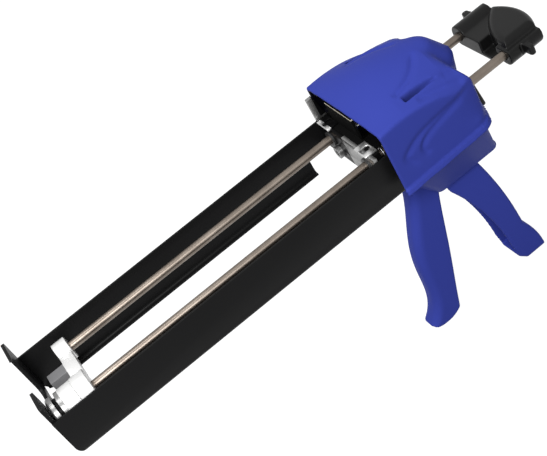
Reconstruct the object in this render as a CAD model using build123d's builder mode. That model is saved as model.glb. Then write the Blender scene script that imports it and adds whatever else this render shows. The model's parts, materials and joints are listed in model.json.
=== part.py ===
from build123d import *
import os

# Two-cartridge dispensing gun. +X points to the rear, +Y to the gun's right, +Z up.
# The origin lies midway between the rods, on the seat that the cartridges bear on. Millimetres.

# Fits
running_gap = 0.05      # radial, rod in bush
pivot_gap = 0.1         # radial, pin in hub
free_gap = 0.5          # radial, where a part passes without touching
side_gap = 0.75         # lever beside its cheek, block beside its wall
push_gap = 0.3          # trigger nose behind the drive plate
pusher_gap = 0.7        # pusher beside the wall and behind the front plate

# Rods
rod_spacing = 50.0
rod_diameter = 7.0
rod_y = rod_spacing / 2
rod_radius = rod_diameter / 2
left_y = -rod_y
right_y = rod_y

# Pushers
pusher_step = 11.0
flange_diameter = 28.6
drum_diameter = 27.6
nose_diameter = 26.6
nose_length = 10.8
nose_round = 2.0
nose_groove_width = 3.0
nose_groove_depth = 3.0
nose_groove_offset = 3.0
right_pusher_diameter = 18.1
right_pusher_lag = 1.0
link_half_height = 4.0
link_tongue_width = 10.0
link_tongue_length = 14.0
screw_diameter = 4.0
screw_head_diameter = 7.0
screw_head_height = 4.0
screw_length = 14.0
screw_socket_diameter = 3.0
screw_socket_depth = 2.0
rod_overlap = 3.0

# Carriage of folded sheet
sheet = 1.5
bay_half_width = rod_y + flange_diameter / 2 + pusher_gap
bay_length = 278.0
wall_top = 9.3
wall_bottom = -28.6
wall_lip = 4.5
wall_bend = 3.0
wall_corner = 9.0
wall_tail = 22.0
notch_height = 12.6
right_notch_start = -19.6
left_notch_start = 14.0
front_thickness = 2.5
left_ear_top = 25.0
right_ear_top = 29.5
front_ear_corner = 3.0
outlet_width = 41.2
outlet_bottom = -12.0
outlet_corner = 6.0
wall_outer = bay_half_width + sheet
front_face = -bay_length - front_thickness

# Cartridge seat
seat_thickness = 3.0
seat_bottom = -16.0
seat_waist = 12.0
seat_ear_top = 32.0
seat_ear_depth = 9.0
seat_ear_corner = 4.0
block_thickness = 5.0
bush_diameter = 11.0
bush_flange_diameter = 12.0
bush_flange_thickness = 1.5
tab_front = -2.0
tab_offset = 1.0
tab_width = 16.0
tab_thickness = 1.5
tab_slot_length = 8.0
tab_slot_width = 5.0
stop_thickness = 2.0
stop_left = -11.0
stop_right = 25.5
stop_bottom = 6.5
stop_below_crown = 15.0
bolt_diameter = 6.0
bolt_head_diameter = 10.0
bolt_head_height = 3.5
bolt_socket_diameter = 5.0
bolt_socket_depth = 2.5
bolt_inset = 6.5
bolt_z = -9.5
block_back = seat_thickness + block_thickness
block_half_width = bay_half_width - seat_thickness - side_gap
bolt_y = rod_y - bolt_inset

# Pivots and the plates that carry them
cheek_inner = 13.0
cheek_thickness = 3.0
cheek_top = -10.0
cheek_bottom = -44.0
cheek_rear = 84.0
cheek_rear_bottom = -22.0
cheek_foot_front = 34.0
cheek_foot_rear = 60.0
cheek_outer = cheek_inner + cheek_thickness
trigger_pivot_x = 46.0
trigger_pivot_z = -34.0
trigger_pin_diameter = 6.0
trigger_bush_diameter = 10.0
release_pivot_x = 76.0
release_pivot_z = -16.0
release_pin_diameter = 5.0
pin_end = 1.0

# Drive plate, brake plate and their springs
plate_margin = 9.0
plate_corner = 5.0
drive_front = 32.0
drive_thickness = 4.0
drive_bottom = -9.0
drive_top = 10.0
brake_thickness = 3.0
brake_back = 75.0
brake_bottom = -9.0
brake_top = 12.0
brake_gap = 1.3
spring_wire = 1.2
plate_half_width = rod_y + plate_margin
drive_back = drive_front + drive_thickness

# Release lever
lever_half_width = 5.0
lever_hub_diameter = 11.0
lever_hub_half_width = 11.0
lever_post_half_width = 9.0
lever_post_thickness = 4.0
lever_post_top = 2.0
lever_arm_top = -13.5
lever_arm_bottom = -18.5
lever_pad_front = 102.5
lever_pad_rear = 107.0
lever_pad_bottom = -43.0
lever_pad_flare = 4.0
lever_pad_half_width = 6.0
lever_pad_round = 1.5

# Hood: front rim, side walls, seam with the neck
hood_wall = 3.0
hood_front = 8.0
hood_rear = 101.0
hood_stand_off = 9.1
hood_taper = 2.6
hood_seam = -24.0
hood_sections = 6
hood_edge_round = 3.0
hood_half_width = wall_outer + hood_stand_off
hood_rear_half_width = hood_half_width - hood_taper

# Hood: crown line and crease line, each falling away along an arc from its highest point
crown_height = 45.0
crown_x = 45.0
crown_front_radius = 68.0
crown_rear_radius = 200.0
crease_height = 33.5
crease_x = 21.0
crease_radius = 97.0

# Hood: rear end, a bowed plan, a slope over the rods and a domed tail between them; each plan of the
# tail is given by its half width at the root, then x and half width where the end begins, then its apex
corner_x = 86.0
corner_round = 14.0
slope_foot_z = -10.0
slope_middle = (92.3, 12.3)
slope_top_x = 72.0
hood_headroom = 4.0
plan_margin = 0.05
tail_root_x = 40.0
tail_foot_z = 4.0
tail_foot = (38.0, 92.0, 15.0, 100.5)
tail_low_z = 20.0
tail_low = (38.0, 94.0, 16.0, 103.0)
tail_high = (32.0, 77.0, 10.0, 82.7)

# Hood: bosses, ribs, lever slot, scoops, side relief and the bead along the seam
boss_diameter = 17.0
boss_front = 84.0
rear_bush_length = 8.0
rear_bush_diameter = 10.0
rib_front = 12.0
rib_length = 8.0
rib_bottom = -12.0
rib_top = 8.0
slot_half_width = 7.0
slot_front = 88.0
slot_top = -10.0
scoop_front = 39.0
scoop_rear = 66.0
scoop_y = 40.0
scoop_radius = 4.0
scoop_depth = 2.0
relief_depth = 0.8
relief_outer = [(19.9, -4.5), (27.9, 10.0), (47.4, 14.9), (86.5, 15.2)]
relief_inner = [(35.6, -4.5), (37.0, 2.5), (49.0, 8.3), (86.5, 12.5)]
bead = 0.8
bead_height = 2.5

# Neck and handle, one moulding
neck_front = 11.0
neck_rear = 88.0
neck_step = 2.6
neck_corner = 11.0
foot_front = 39.5
foot_rear = 100.0
foot_half_width = 20.0
foot_corner = 6.0
foot_z = -71.0
moulding_wall = 2.5
handle_half_width = 13.0
handle_back_wall = 4.0
handle_edge = 3.0
handle_base = 9.0
handle_base_z = -199.5
handle_back_top = (77.0, -62.0)
handle_back_palm = (90.8, -112.0)
handle_back_waist = (97.5, -163.0)
handle_back_heel = (105.2, -181.0)
handle_back_end = (108.3, handle_base_z)
handle_front_end = (88.5, handle_base_z)
handle_front_toe = (82.3, -193.0)
handle_front_waist = (79.5, -178.0)
handle_front_palm = (68.3, -123.0)
handle_front_top = (52.0, -86.0)
handle_root = (46.0, -66.0)
neck_half_width = hood_half_width - neck_step

# Trigger: front and rear edge at a few heights, toe below, hub and nose above
trigger_half_width = 9.5
trigger_front_round = 7.5
trigger_rear_round = 2.0
trigger_edges = [(-40.0, 28.0, 54.0), (-68.0, 22.0, 48.0), (-103.0, 10.6, 39.3), (-140.0, 2.2, 31.1),
                 (-177.0, -1.2, 22.0), (-188.0, -5.5, 19.4), (-203.0, -19.0, 16.0)]
toe_front = (-18.0, -190.5)
toe_bottom = (-2.0, -200.5)
toe_rear = (24.0, -186.5)
trigger_hub_radius = 9.0
nose_radius = 4.0
nose_z = -4.0
nose_root = 6.0

# Pull knob
knob_front = 125.5
knob_stagger = 3.0
socket_diameter = 18.0
socket_length = 30.5
socket_grip = 24.0
knob_base_thickness = 4.0
knob_base_left = -19.0
knob_base_right = 27.0
palm_left = -27.5
palm_front = 131.0
palm_waist = (136.5, -3.0)
palm_right = 19.0
palm_apex = (164.5, -1.0)
palm_top = 10.5
palm_edge = 5.0
web_inner = -1.5
web_top = 5.0
knob_tab_reach = 41.5
knob_tab_half_height = 4.0
knob_tab_round = 1.8
left_knob_tab_foot = (140.5, 147.0)
left_knob_tab_tip = (141.0, 145.5)
right_knob_tab_foot = (138.5, 149.5)
right_knob_tab_tip = (142.0, 147.0)
knob_tab_slot_width = 2.0
knob_tab_slot_depth = 1.8
knob_pin_diameter = 3.0
knob_pin_offset = 8.0
knob_pin_top = 5.0

sides = (-1, 1)


# A round bar along X between two stations, at a point given in Y and Z.
def bar(start, end, y, z, diameter, mode=Mode.ADD):
    with Locations(((start + end) / 2, y, z)):
        Cylinder(diameter / 2, end - start, rotation=(0, 90, 0), mode=mode)


# A round bar along Y, centred on the mid-plane, at a point given in X and Z.
def cross_bar(x, z, half_length, diameter, mode=Mode.ADD):
    with Locations((x, 0, z)):
        Cylinder(diameter / 2, 2 * half_length, rotation=(90, 0, 0), mode=mode)


# A block between two corners.
def block(near, far, mode=Mode.ADD):
    middle = tuple((a + b) / 2 for a, b in zip(near, far))
    size = [abs(b - a) for a, b in zip(near, far)]
    with Locations(middle):
        Box(*size, mode=mode)


def save(piece, label):
    piece.part.label = label
    export_step(piece.part, f"parts/{label}.step")


os.makedirs("parts", exist_ok=True)


# Lower front corner of the carriage: what the walls and the front plate lose outside one arc
with BuildPart() as corner_cut:
    with BuildSketch(Plane.XZ):
        with Locations((front_face, wall_bottom)):
            Rectangle(2 * wall_corner, 2 * wall_corner)
        with Locations((front_face + wall_corner, wall_bottom + wall_corner)):
            Circle(wall_corner, mode=Mode.SUBTRACT)
    extrude(amount=2 * bay_half_width, both=True)


# Carriage walls: folded sheet, lower edge rolled in, a notch at the rear of the lower edge
def wall(side, notch_start):
    middle = side * (bay_half_width + sheet / 2)
    with BuildPart() as piece:
        with BuildSketch(Plane.YZ.offset(front_face)):
            with BuildLine():
                FilletPolyline(
                    (middle, wall_top),
                    (middle, wall_bottom + sheet / 2),
                    (middle - side * wall_lip, wall_bottom + sheet / 2),
                    radius=wall_bend,
                )
            trace(line_width=sheet)
        extrude(amount=wall_tail - front_face)
        add(corner_cut.part, mode=Mode.SUBTRACT)
        block(
            (notch_start, -2 * bay_half_width, wall_bottom - sheet),
            (wall_tail + sheet, 2 * bay_half_width, wall_bottom + notch_height),
            Mode.SUBTRACT,
        )
    return piece


save(wall(-1, left_notch_start), "left_wall")
save(wall(1, right_notch_start), "right_wall")

# Front plate: set between the walls, two ears, the outlet gap between them
with BuildPart() as front_plate:
    front_bottom = wall_bottom + sheet + wall_bend
    with BuildSketch(Plane.YZ.offset(front_face)) as front_outline:
        with Locations((0, (right_ear_top + front_bottom) / 2)):
            Rectangle(2 * bay_half_width, right_ear_top - front_bottom)
        with Locations((-bay_half_width / 2, (left_ear_top + right_ear_top) / 2)):
            Rectangle(bay_half_width, right_ear_top - left_ear_top, mode=Mode.SUBTRACT)
        outer_corners = [corner for corner in front_outline.vertices() if abs(corner.X) > outlet_width / 2]
        fillet([corner for corner in outer_corners if corner.Y > wall_top], front_ear_corner)
        outlet_height = right_ear_top + 2 * outlet_corner
        with Locations((0, outlet_bottom + outlet_height / 2)):
            RectangleRounded(outlet_width, outlet_height, outlet_corner, mode=Mode.SUBTRACT)
    extrude(amount=front_thickness)
    add(corner_cut.part, mode=Mode.SUBTRACT)
save(front_plate, "front_plate")

# Rear plate: cartridge seat, its right edge folded back along the wall and standing up as an ear
with BuildPart() as rear_plate:
    with BuildSketch(Plane.YZ):
        with Locations((0, (seat_waist + seat_bottom) / 2)):
            Rectangle(2 * bay_half_width, seat_waist - seat_bottom)
        with Locations(*[(side * rod_y, 0) for side in sides]):
            Circle(bush_diameter / 2, mode=Mode.SUBTRACT)
        with Locations(*[(side * bolt_y, bolt_z) for side in sides]):
            Circle(bolt_diameter / 2, mode=Mode.SUBTRACT)
    extrude(amount=seat_thickness)
    with BuildSketch(Plane.XZ.offset(-bay_half_width)):
        with BuildLine():
            Polyline(
                (0, seat_bottom),
                (seat_ear_depth, seat_bottom),
                (seat_ear_depth, seat_waist),
                (seat_ear_depth - seat_ear_corner, seat_ear_top),
                (0, seat_ear_top),
                close=True,
            )
        make_face()
    extrude(amount=seat_thickness)
save(rear_plate, "rear_plate")

# Flange tabs: slotted plates lying on the rear plate and the guide block, above the rods
with BuildPart() as flange_tabs:
    for side in sides:
        tab_y = side * (rod_y + tab_offset)
        block(
            (tab_front, tab_y - tab_width / 2, seat_waist),
            (block_back, tab_y + tab_width / 2, seat_waist + tab_thickness),
        )
        with BuildSketch(Plane.XY.offset(seat_waist)):
            with Locations(((tab_front + block_back) / 2, tab_y)):
                SlotOverall(tab_slot_length, tab_slot_width)
        extrude(amount=tab_thickness, mode=Mode.SUBTRACT)
save(flange_tabs, "flange_tabs")

# Guide block: dark casting behind the rear plate
with BuildPart() as guide_block:
    with BuildSketch(Plane.YZ.offset(seat_thickness)):
        with Locations((0, (seat_waist + seat_bottom) / 2)):
            Rectangle(2 * block_half_width, seat_waist - seat_bottom)
        with Locations(*[(side * rod_y, 0) for side in sides]):
            Circle(bush_diameter / 2, mode=Mode.SUBTRACT)
        with Locations(*[(side * bolt_y, bolt_z) for side in sides]):
            Circle(bolt_diameter / 2, mode=Mode.SUBTRACT)
    extrude(amount=block_thickness)
save(guide_block, "guide_block")

# Stop plate: pale upright on the guide block's rear face, seen edge-on in the hood's mouth
with BuildPart() as stop_plate:
    stop_top = crown_height - stop_below_crown
    block((block_back, stop_left, stop_bottom), (block_back + stop_thickness, stop_right, stop_top))
save(stop_plate, "stop_plate")

# Rod bushes: flanged, seated on the rear plate
with BuildPart() as rod_bushes:
    for side in sides:
        bar(-bush_flange_thickness, 0, side * rod_y, 0, bush_flange_diameter)
        bar(0, block_back, side * rod_y, 0, bush_diameter)
    for side in sides:
        bar(-bush_flange_thickness, block_back, side * rod_y, 0, rod_diameter + 2 * running_gap, Mode.SUBTRACT)
save(rod_bushes, "rod_bushes")

# Rear plate bolts: socket heads standing on the rear plate
with BuildPart() as rear_plate_bolts:
    for side in sides:
        bar(-bolt_head_height, 0, side * bolt_y, bolt_z, bolt_head_diameter)
        bar(0, block_back, side * bolt_y, bolt_z, bolt_diameter)
    for side in sides:
        bar(-bolt_head_height, bolt_socket_depth - bolt_head_height, side * bolt_y, bolt_z,
            bolt_socket_diameter, Mode.SUBTRACT)
save(rear_plate_bolts, "rear_plate_bolts")


# Cheeks: plates that carry the trigger pin and the release pin
def cheek(side):
    with BuildPart() as piece:
        with BuildSketch(Plane.XZ.offset(-side * cheek_inner)):
            with BuildLine():
                Polyline(
                    (block_back, cheek_top),
                    (cheek_rear, cheek_top),
                    (cheek_rear, cheek_rear_bottom),
                    (cheek_foot_rear, cheek_bottom),
                    (cheek_foot_front, cheek_bottom),
                    (block_back, cheek_rear_bottom),
                    close=True,
                )
            make_face()
            with Locations((trigger_pivot_x, trigger_pivot_z)):
                Circle(trigger_pin_diameter / 2, mode=Mode.SUBTRACT)
            with Locations((release_pivot_x, release_pivot_z)):
                Circle(release_pin_diameter / 2, mode=Mode.SUBTRACT)
        extrude(amount=-side * cheek_thickness)
    return piece


save(cheek(-1), "left_cheek")
save(cheek(1), "right_cheek")

# Pivot pins
with BuildPart() as trigger_pin:
    cross_bar(trigger_pivot_x, trigger_pivot_z, cheek_outer + pin_end, trigger_pin_diameter)
save(trigger_pin, "trigger_pin")

with BuildPart() as release_pin:
    cross_bar(release_pivot_x, release_pivot_z, cheek_outer + pin_end, release_pin_diameter)
save(release_pin, "release_pin")


# Hood: crown and crease fall away along arcs, the sides taper to the rear
def crown_at(x):
    radius = crown_front_radius if x < crown_x else crown_rear_radius
    return crown_height - (x - crown_x) ** 2 / (2 * radius)


def crease_at(x):
    return crease_height - max(x - crease_x, 0) ** 2 / (2 * crease_radius)


def half_width_at(x):
    return hood_half_width - hood_taper * (x - hood_front) / (corner_x - hood_front)


def hood_top(x, y):
    return crease_at(x) + (crown_at(x) - crease_at(x)) * (1 - (y / half_width_at(x)) ** 2)


# The hood's plan, its rear edge bowed and its rear corners rounded.
def hood_plan(inset, front):
    with BuildSketch() as plan:
        with BuildLine():
            Polyline(
                (corner_x - inset, hood_rear_half_width - inset),
                (front, half_width_at(front) - inset),
                (front, inset - half_width_at(front)),
                (corner_x - inset, inset - hood_rear_half_width),
            )
            ThreePointArc(
                (corner_x - inset, inset - hood_rear_half_width),
                (hood_rear - inset, 0),
                (corner_x - inset, hood_rear_half_width - inset),
            )
        make_face()
        fillet(plan.vertices().group_by(Axis.X)[-1], corner_round - inset)
    return plan.sketch


# The tail's plan at one height: straight flanks drawing in to a round end.
def tail_plan(z, shape, inset):
    root_half_width, tip_x, tip_half_width, apex_x = shape
    with BuildSketch(Plane.XY.offset(z)) as plan:
        with BuildLine():
            Polyline(
                (tip_x - inset, tip_half_width - inset),
                (tail_root_x, root_half_width - inset),
                (tail_root_x, inset - root_half_width),
                (tip_x - inset, inset - tip_half_width),
            )
            ThreePointArc(
                (tip_x - inset, inset - tip_half_width),
                (apex_x - inset, 0),
                (tip_x - inset, tip_half_width - inset),
            )
        make_face()
    return plan.sketch


# The hood's form: a loft through sections, cut at the rear by plan and slope, less at the tail.
def hood_form(inset, front, bottom):
    with BuildPart() as rear_end:
        extrude(Pos(0, 0, bottom) * hood_plan(inset - plan_margin, front), amount=2 * crown_height)
        with BuildSketch(Plane.XZ):
            with BuildLine():
                Polyline(
                    (slope_top_x - inset, crown_height + hood_headroom),
                    (front, crown_height + hood_headroom),
                    (front, bottom),
                    (hood_rear - inset, bottom),
                    (hood_rear - inset, slope_foot_z),
                )
                ThreePointArc(
                    (hood_rear - inset, slope_foot_z),
                    (slope_middle[0] - inset, slope_middle[1]),
                    (slope_top_x - inset, crown_height + hood_headroom),
                )
            make_face()
        extrude(amount=hood_half_width, both=True, mode=Mode.INTERSECT)
        loft([tail_plan(tail_foot_z, tail_foot, inset), tail_plan(tail_low_z, tail_low, inset)])
        tail_top = crown_height + hood_headroom
        loft([tail_plan(tail_low_z, tail_low, inset), tail_plan(tail_top, tail_high, inset)])
    with BuildPart() as form:
        for i in range(hood_sections):
            x = front + (tail_low[-1] - front) * i / (hood_sections - 1)
            half_width = half_width_at(x) - inset
            crown = crown_at(x) - inset
            crease = crease_at(x) - inset
            with BuildSketch(Plane.YZ.offset(x)) as section:
                with BuildLine():
                    Polyline(
                        (half_width, crease),
                        (half_width, bottom),
                        (-half_width, bottom),
                        (-half_width, crease),
                    )
                    ThreePointArc((-half_width, crease), (0, crown), (half_width, crease))
                make_face()
                fillet(section.vertices().group_by(Axis.Y)[-1], hood_edge_round)
        loft()
        add(rear_end.part, mode=Mode.INTERSECT)
    return form.part


with BuildPart() as hood_cavity:
    add(hood_form(hood_wall, hood_front - hood_wall, hood_seam - hood_wall))
    for side in sides:
        bar(boss_front, hood_rear, side * rod_y, 0, boss_diameter, Mode.SUBTRACT)
        block(
            (rib_front, side * wall_outer, rib_bottom),
            (rib_front + rib_length, side * hood_half_width, rib_top),
            Mode.SUBTRACT,
        )

# Crescent recesses in the hood's sides
with BuildPart() as side_reliefs:
    along = (corner_x - hood_front, hood_taper, 0)
    outward = (hood_taper, hood_front - corner_x, 0)
    with BuildSketch(Plane((hood_front, -hood_half_width, 0), x_dir=along, z_dir=outward)):
        with Locations((-hood_front, 0)):
            with BuildLine():
                Spline(*relief_outer)
                Spline(*relief_inner)
                Line(relief_outer[0], relief_inner[0])
                Line(relief_outer[-1], relief_inner[-1])
            make_face()
    extrude(amount=relief_depth, both=True)
    mirror(about=Plane.XZ)

with BuildPart() as hood:
    add(hood_form(0, hood_front, hood_seam))
    extrude(Pos(0, 0, hood_seam) * hood_plan(-bead, hood_front), amount=bead_height)
    add(hood_cavity.part, mode=Mode.SUBTRACT)
    add(side_reliefs.part, mode=Mode.SUBTRACT)
    for side in sides:
        bar(boss_front, boss_front + rear_bush_length, side * rod_y, 0, rear_bush_diameter, Mode.SUBTRACT)
        bar(boss_front, hood_rear, side * rod_y, 0, rod_diameter + 2 * free_gap, Mode.SUBTRACT)
        scoop_z = hood_top(scoop_front, scoop_y) + scoop_radius - scoop_depth
        scoop_start = Vector(scoop_front, side * scoop_y, scoop_z)
        scoop_end = Vector(scoop_rear, side * scoop_y, hood_top(scoop_rear, scoop_y) + scoop_radius)
        with BuildSketch(Plane(scoop_start, z_dir=scoop_end - scoop_start)):
            Circle(scoop_radius)
        extrude(amount=(scoop_end - scoop_start).length, mode=Mode.SUBTRACT)
    block((slot_front, -slot_half_width, hood_seam - hood_wall), (hood_rear + bead, slot_half_width, slot_top),
          Mode.SUBTRACT)
save(hood, "hood")

# Rear bushes: pressed into the hood's bosses
with BuildPart() as rear_bushes:
    for side in sides:
        bar(boss_front, boss_front + rear_bush_length, side * rod_y, 0, rear_bush_diameter)
    for side in sides:
        bar(boss_front, boss_front + rear_bush_length, side * rod_y, 0, rod_diameter + 2 * running_gap, Mode.SUBTRACT)
save(rear_bushes, "rear_bushes")

# Handle: its outline in arcs, the long edges rounded
with BuildPart() as handle:
    with BuildSketch(Plane.XZ):
        with BuildLine():
            ThreePointArc(handle_back_top, handle_back_palm, handle_back_waist)
            ThreePointArc(handle_back_waist, handle_back_heel, handle_back_end)
            Polyline(handle_back_end, handle_front_end, handle_front_toe, handle_front_waist)
            ThreePointArc(handle_front_waist, handle_front_palm, handle_front_top)
            Polyline(handle_front_top, handle_root, handle_back_top)
        make_face()
    extrude(amount=handle_half_width, both=True)
    fillet(handle.faces().filter_by(Axis.Y).edges(), handle_edge)

# Grip body: neck tapering to the handle, hollow and open to the front, beaded round its foot
with BuildPart() as grip_body:
    with BuildSketch(Plane.XY.offset(hood_seam)):
        with Locations(((neck_front + neck_rear) / 2, 0)):
            RectangleRounded(neck_rear - neck_front, 2 * neck_half_width, neck_corner)
    with BuildSketch(Plane.XY.offset(foot_z)):
        with Locations(((foot_front + foot_rear) / 2, 0)):
            RectangleRounded(foot_rear - foot_front, 2 * foot_half_width, foot_corner)
    loft()
    with BuildSketch(Plane.XY.offset(foot_z)):
        with Locations(((foot_front + foot_rear) / 2, 0)):
            foot_length = foot_rear - foot_front
            RectangleRounded(foot_length + 2 * bead, 2 * (foot_half_width + bead), foot_corner + bead)
    extrude(amount=bead_height)
    add(handle.part)
    with BuildSketch(Plane.XY.offset(hood_seam)):
        with Locations(((neck_rear - moulding_wall) / 2 - neck_front, 0)):
            RectangleRounded(
                neck_rear - moulding_wall + 2 * neck_front,
                2 * (neck_half_width - moulding_wall),
                neck_corner - moulding_wall,
            )
    with BuildSketch(Plane.XY.offset(foot_z + moulding_wall)):
        with Locations(((foot_rear - moulding_wall) / 2 - neck_front, 0)):
            RectangleRounded(
                foot_rear - moulding_wall + 2 * neck_front,
                2 * (foot_half_width - moulding_wall),
                foot_corner - moulding_wall,
            )
    loft(mode=Mode.SUBTRACT)
    with BuildSketch(Plane.XZ):
        with BuildLine():
            channel_top = (handle_back_top[0] - handle_back_wall, handle_back_top[1])
            channel_palm = (handle_back_palm[0] - handle_back_wall, handle_back_palm[1])
            channel_waist = (handle_back_waist[0] - handle_back_wall, handle_back_waist[1])
            channel_end = (channel_waist[0], handle_base_z + handle_base)
            ThreePointArc(channel_top, channel_palm, channel_waist)
            Polyline(
                channel_waist,
                channel_end,
                (neck_front, channel_end[1]),
                (neck_front, channel_top[1]),
                channel_top,
            )
        make_face()
    extrude(amount=handle_half_width - moulding_wall, both=True, mode=Mode.SUBTRACT)
save(grip_body, "grip_body")

# Trigger: broad lever, round in front, with a hub in the neck and a nose behind the drive plate
nose_x = drive_back + push_gap + nose_radius
with BuildPart() as trigger:
    for z, front, rear in trigger_edges:
        with BuildSketch(Plane.XY.offset(z)) as blade:
            with Locations(((front + rear) / 2, 0)):
                Rectangle(rear - front, 2 * trigger_half_width)
            fillet(blade.vertices().group_by(Axis.X)[0], trigger_front_round)
            fillet(blade.vertices().group_by(Axis.X)[-1], trigger_rear_round)
    loft()
    with BuildSketch(Plane.XZ):
        with BuildLine():
            ThreePointArc(toe_front, toe_bottom, toe_rear)
            Polyline(
                toe_rear,
                (toe_rear[0], 2 * toe_bottom[1]),
                (2 * toe_front[0], 2 * toe_bottom[1]),
                (2 * toe_front[0], toe_front[1]),
                toe_front,
            )
        make_face()
    extrude(amount=2 * trigger_half_width, both=True, mode=Mode.SUBTRACT)
    with BuildSketch(Plane.XZ):
        with Locations((trigger_pivot_x, trigger_pivot_z)):
            Circle(trigger_hub_radius)
        with BuildLine():
            Polyline(
                (nose_x - nose_radius, nose_z),
                (nose_x + nose_radius, nose_z),
                (trigger_pivot_x + nose_root, trigger_pivot_z),
                (trigger_pivot_x - trigger_hub_radius, trigger_pivot_z),
                close=True,
            )
        make_face()
        with Locations((nose_x, nose_z)):
            Circle(nose_radius)
    extrude(amount=trigger_half_width, both=True)
    cross_bar(trigger_pivot_x, trigger_pivot_z, cheek_inner, trigger_bush_diameter, Mode.SUBTRACT)
save(trigger, "trigger")

# Trigger bush: sleeve in the trigger's hub
with BuildPart() as trigger_bush:
    cross_bar(trigger_pivot_x, trigger_pivot_z, cheek_inner - side_gap, trigger_bush_diameter)
    cross_bar(trigger_pivot_x, trigger_pivot_z, cheek_inner, trigger_pin_diameter + 2 * pivot_gap, Mode.SUBTRACT)
save(trigger_bush, "trigger_bush")


# Drive plate grips the rods when the trigger's nose tips it; brake plate locks them until released
def rod_plate(front, thickness, bottom, top, gap):
    with BuildPart() as piece:
        with BuildSketch(Plane.YZ.offset(front)):
            with Locations((0, (top + bottom) / 2)):
                RectangleRounded(2 * plate_half_width, top - bottom, plate_corner)
            with Locations(*[(side * rod_y, 0) for side in sides]):
                Circle(rod_radius + gap, mode=Mode.SUBTRACT)
        extrude(amount=thickness)
    return piece


save(rod_plate(drive_front, drive_thickness, drive_bottom, drive_top, free_gap), "drive_plate")
save(rod_plate(brake_back - brake_thickness, brake_thickness, brake_bottom, brake_top, brake_gap), "brake_plate")


# Return springs and brake springs, out of sight under the hood: plain sleeves of the coils' size
def sleeves(start, end):
    inner = rod_diameter + 2 * free_gap
    with BuildPart() as piece:
        for side in sides:
            bar(start, end, side * rod_y, 0, inner + 2 * spring_wire)
        for side in sides:
            bar(start, end, side * rod_y, 0, inner, Mode.SUBTRACT)
    return piece


save(sleeves(block_back, drive_front), "return_springs")
save(sleeves(brake_back, boss_front), "brake_springs")

# Release lever: hub, post behind the brake plate, arm out of the hood's slot, thumb pad
with BuildPart() as release_lever:
    with BuildSketch(Plane.XZ):
        with BuildLine():
            Polyline(
                (lever_pad_front, lever_arm_top),
                (lever_pad_rear, lever_arm_top),
                (lever_pad_rear + lever_pad_flare, lever_pad_bottom),
                (lever_pad_front + lever_pad_flare, lever_pad_bottom),
                close=True,
            )
        make_face()
    extrude(amount=lever_pad_half_width, both=True)
    fillet(release_lever.edges(), lever_pad_round)
    block(
        (brake_back, -lever_post_half_width, release_pivot_z),
        (brake_back + lever_post_thickness, lever_post_half_width, lever_post_top),
    )
    block(
        (release_pivot_x, -lever_half_width, lever_arm_bottom),
        (lever_pad_rear - lever_pad_round, lever_half_width, lever_arm_top),
    )
    cross_bar(release_pivot_x, release_pivot_z, lever_hub_half_width, lever_hub_diameter)
    cross_bar(release_pivot_x, release_pivot_z, lever_hub_half_width,
              release_pin_diameter + 2 * pivot_gap, Mode.SUBTRACT)
save(release_lever, "release_lever")

# Pushers: flange, drum and nose on the left rod, a single disc on the right one, a link between them
nose_front = -bay_length + pusher_gap
nose_back = nose_front + nose_length
drum_back = nose_back + pusher_step
pusher_back = drum_back + pusher_step
left_rod_front = nose_back - rod_overlap
right_pusher_front = drum_back + right_pusher_lag
right_pusher_back = pusher_back + right_pusher_lag
right_rod_front = right_pusher_front + screw_head_height

with BuildPart() as left_pusher_flange:
    bar(drum_back, pusher_back, left_y, 0, flange_diameter)
    bar(drum_back, pusher_back, left_y, 0, rod_diameter, Mode.SUBTRACT)
save(left_pusher_flange, "left_pusher_flange")

with BuildPart() as left_pusher_drum:
    bar(nose_back, drum_back, left_y, 0, drum_diameter)
    bar(nose_back, drum_back, left_y, 0, rod_diameter, Mode.SUBTRACT)
save(left_pusher_drum, "left_pusher_drum")

with BuildPart() as left_pusher_nose:
    bar(nose_front, nose_back, left_y, 0, nose_diameter)
    fillet(left_pusher_nose.edges().group_by(Axis.X)[0], nose_round)
    bar(left_rod_front, nose_back, left_y, 0, rod_diameter, Mode.SUBTRACT)
    bar(nose_front, nose_back, left_y, 0, screw_diameter, Mode.SUBTRACT)
    bar(nose_front, nose_front + screw_head_height, left_y, 0, screw_head_diameter, Mode.SUBTRACT)
    with BuildSketch(Plane.XY):
        with Locations((nose_back - nose_groove_offset - nose_groove_width / 2, left_y + nose_diameter / 2)):
            Rectangle(nose_groove_width, 2 * nose_groove_depth)
    revolve(axis=Axis((0, left_y, 0), (1, 0, 0)), mode=Mode.SUBTRACT)
save(left_pusher_nose, "left_pusher_nose")

with BuildPart() as right_pusher:
    bar(right_pusher_front, right_pusher_back, right_y, 0, right_pusher_diameter)
    bar(right_rod_front, right_pusher_back, right_y, 0, rod_diameter, Mode.SUBTRACT)
    bar(right_pusher_front, right_rod_front, right_y, 0, screw_head_diameter, Mode.SUBTRACT)
save(right_pusher, "right_pusher")

with BuildPart() as pusher_link:
    block((right_pusher_front, left_y, -link_half_height), (pusher_back, right_y, link_half_height))
    block(
        (right_pusher_front - link_tongue_length, 0, -link_half_height),
        (right_pusher_front, link_tongue_width, link_half_height),
    )
    bar(drum_back, pusher_back, left_y, 0, flange_diameter, Mode.SUBTRACT)
    bar(drum_back, pusher_back, right_y, 0, right_pusher_diameter, Mode.SUBTRACT)
save(pusher_link, "pusher_link")

# Pusher screws: one into the front end of each rod
with BuildPart() as pusher_screws:
    for y, seat in ((left_y, nose_front + screw_head_height), (right_y, right_rod_front)):
        bar(seat - screw_head_height, seat, y, 0, screw_head_diameter)
        bar(seat, seat + screw_length, y, 0, screw_diameter)
        bar(seat - screw_head_height, seat - screw_head_height + screw_socket_depth, y, 0,
            screw_socket_diameter, Mode.SUBTRACT)
save(pusher_screws, "pusher_screws")


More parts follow.
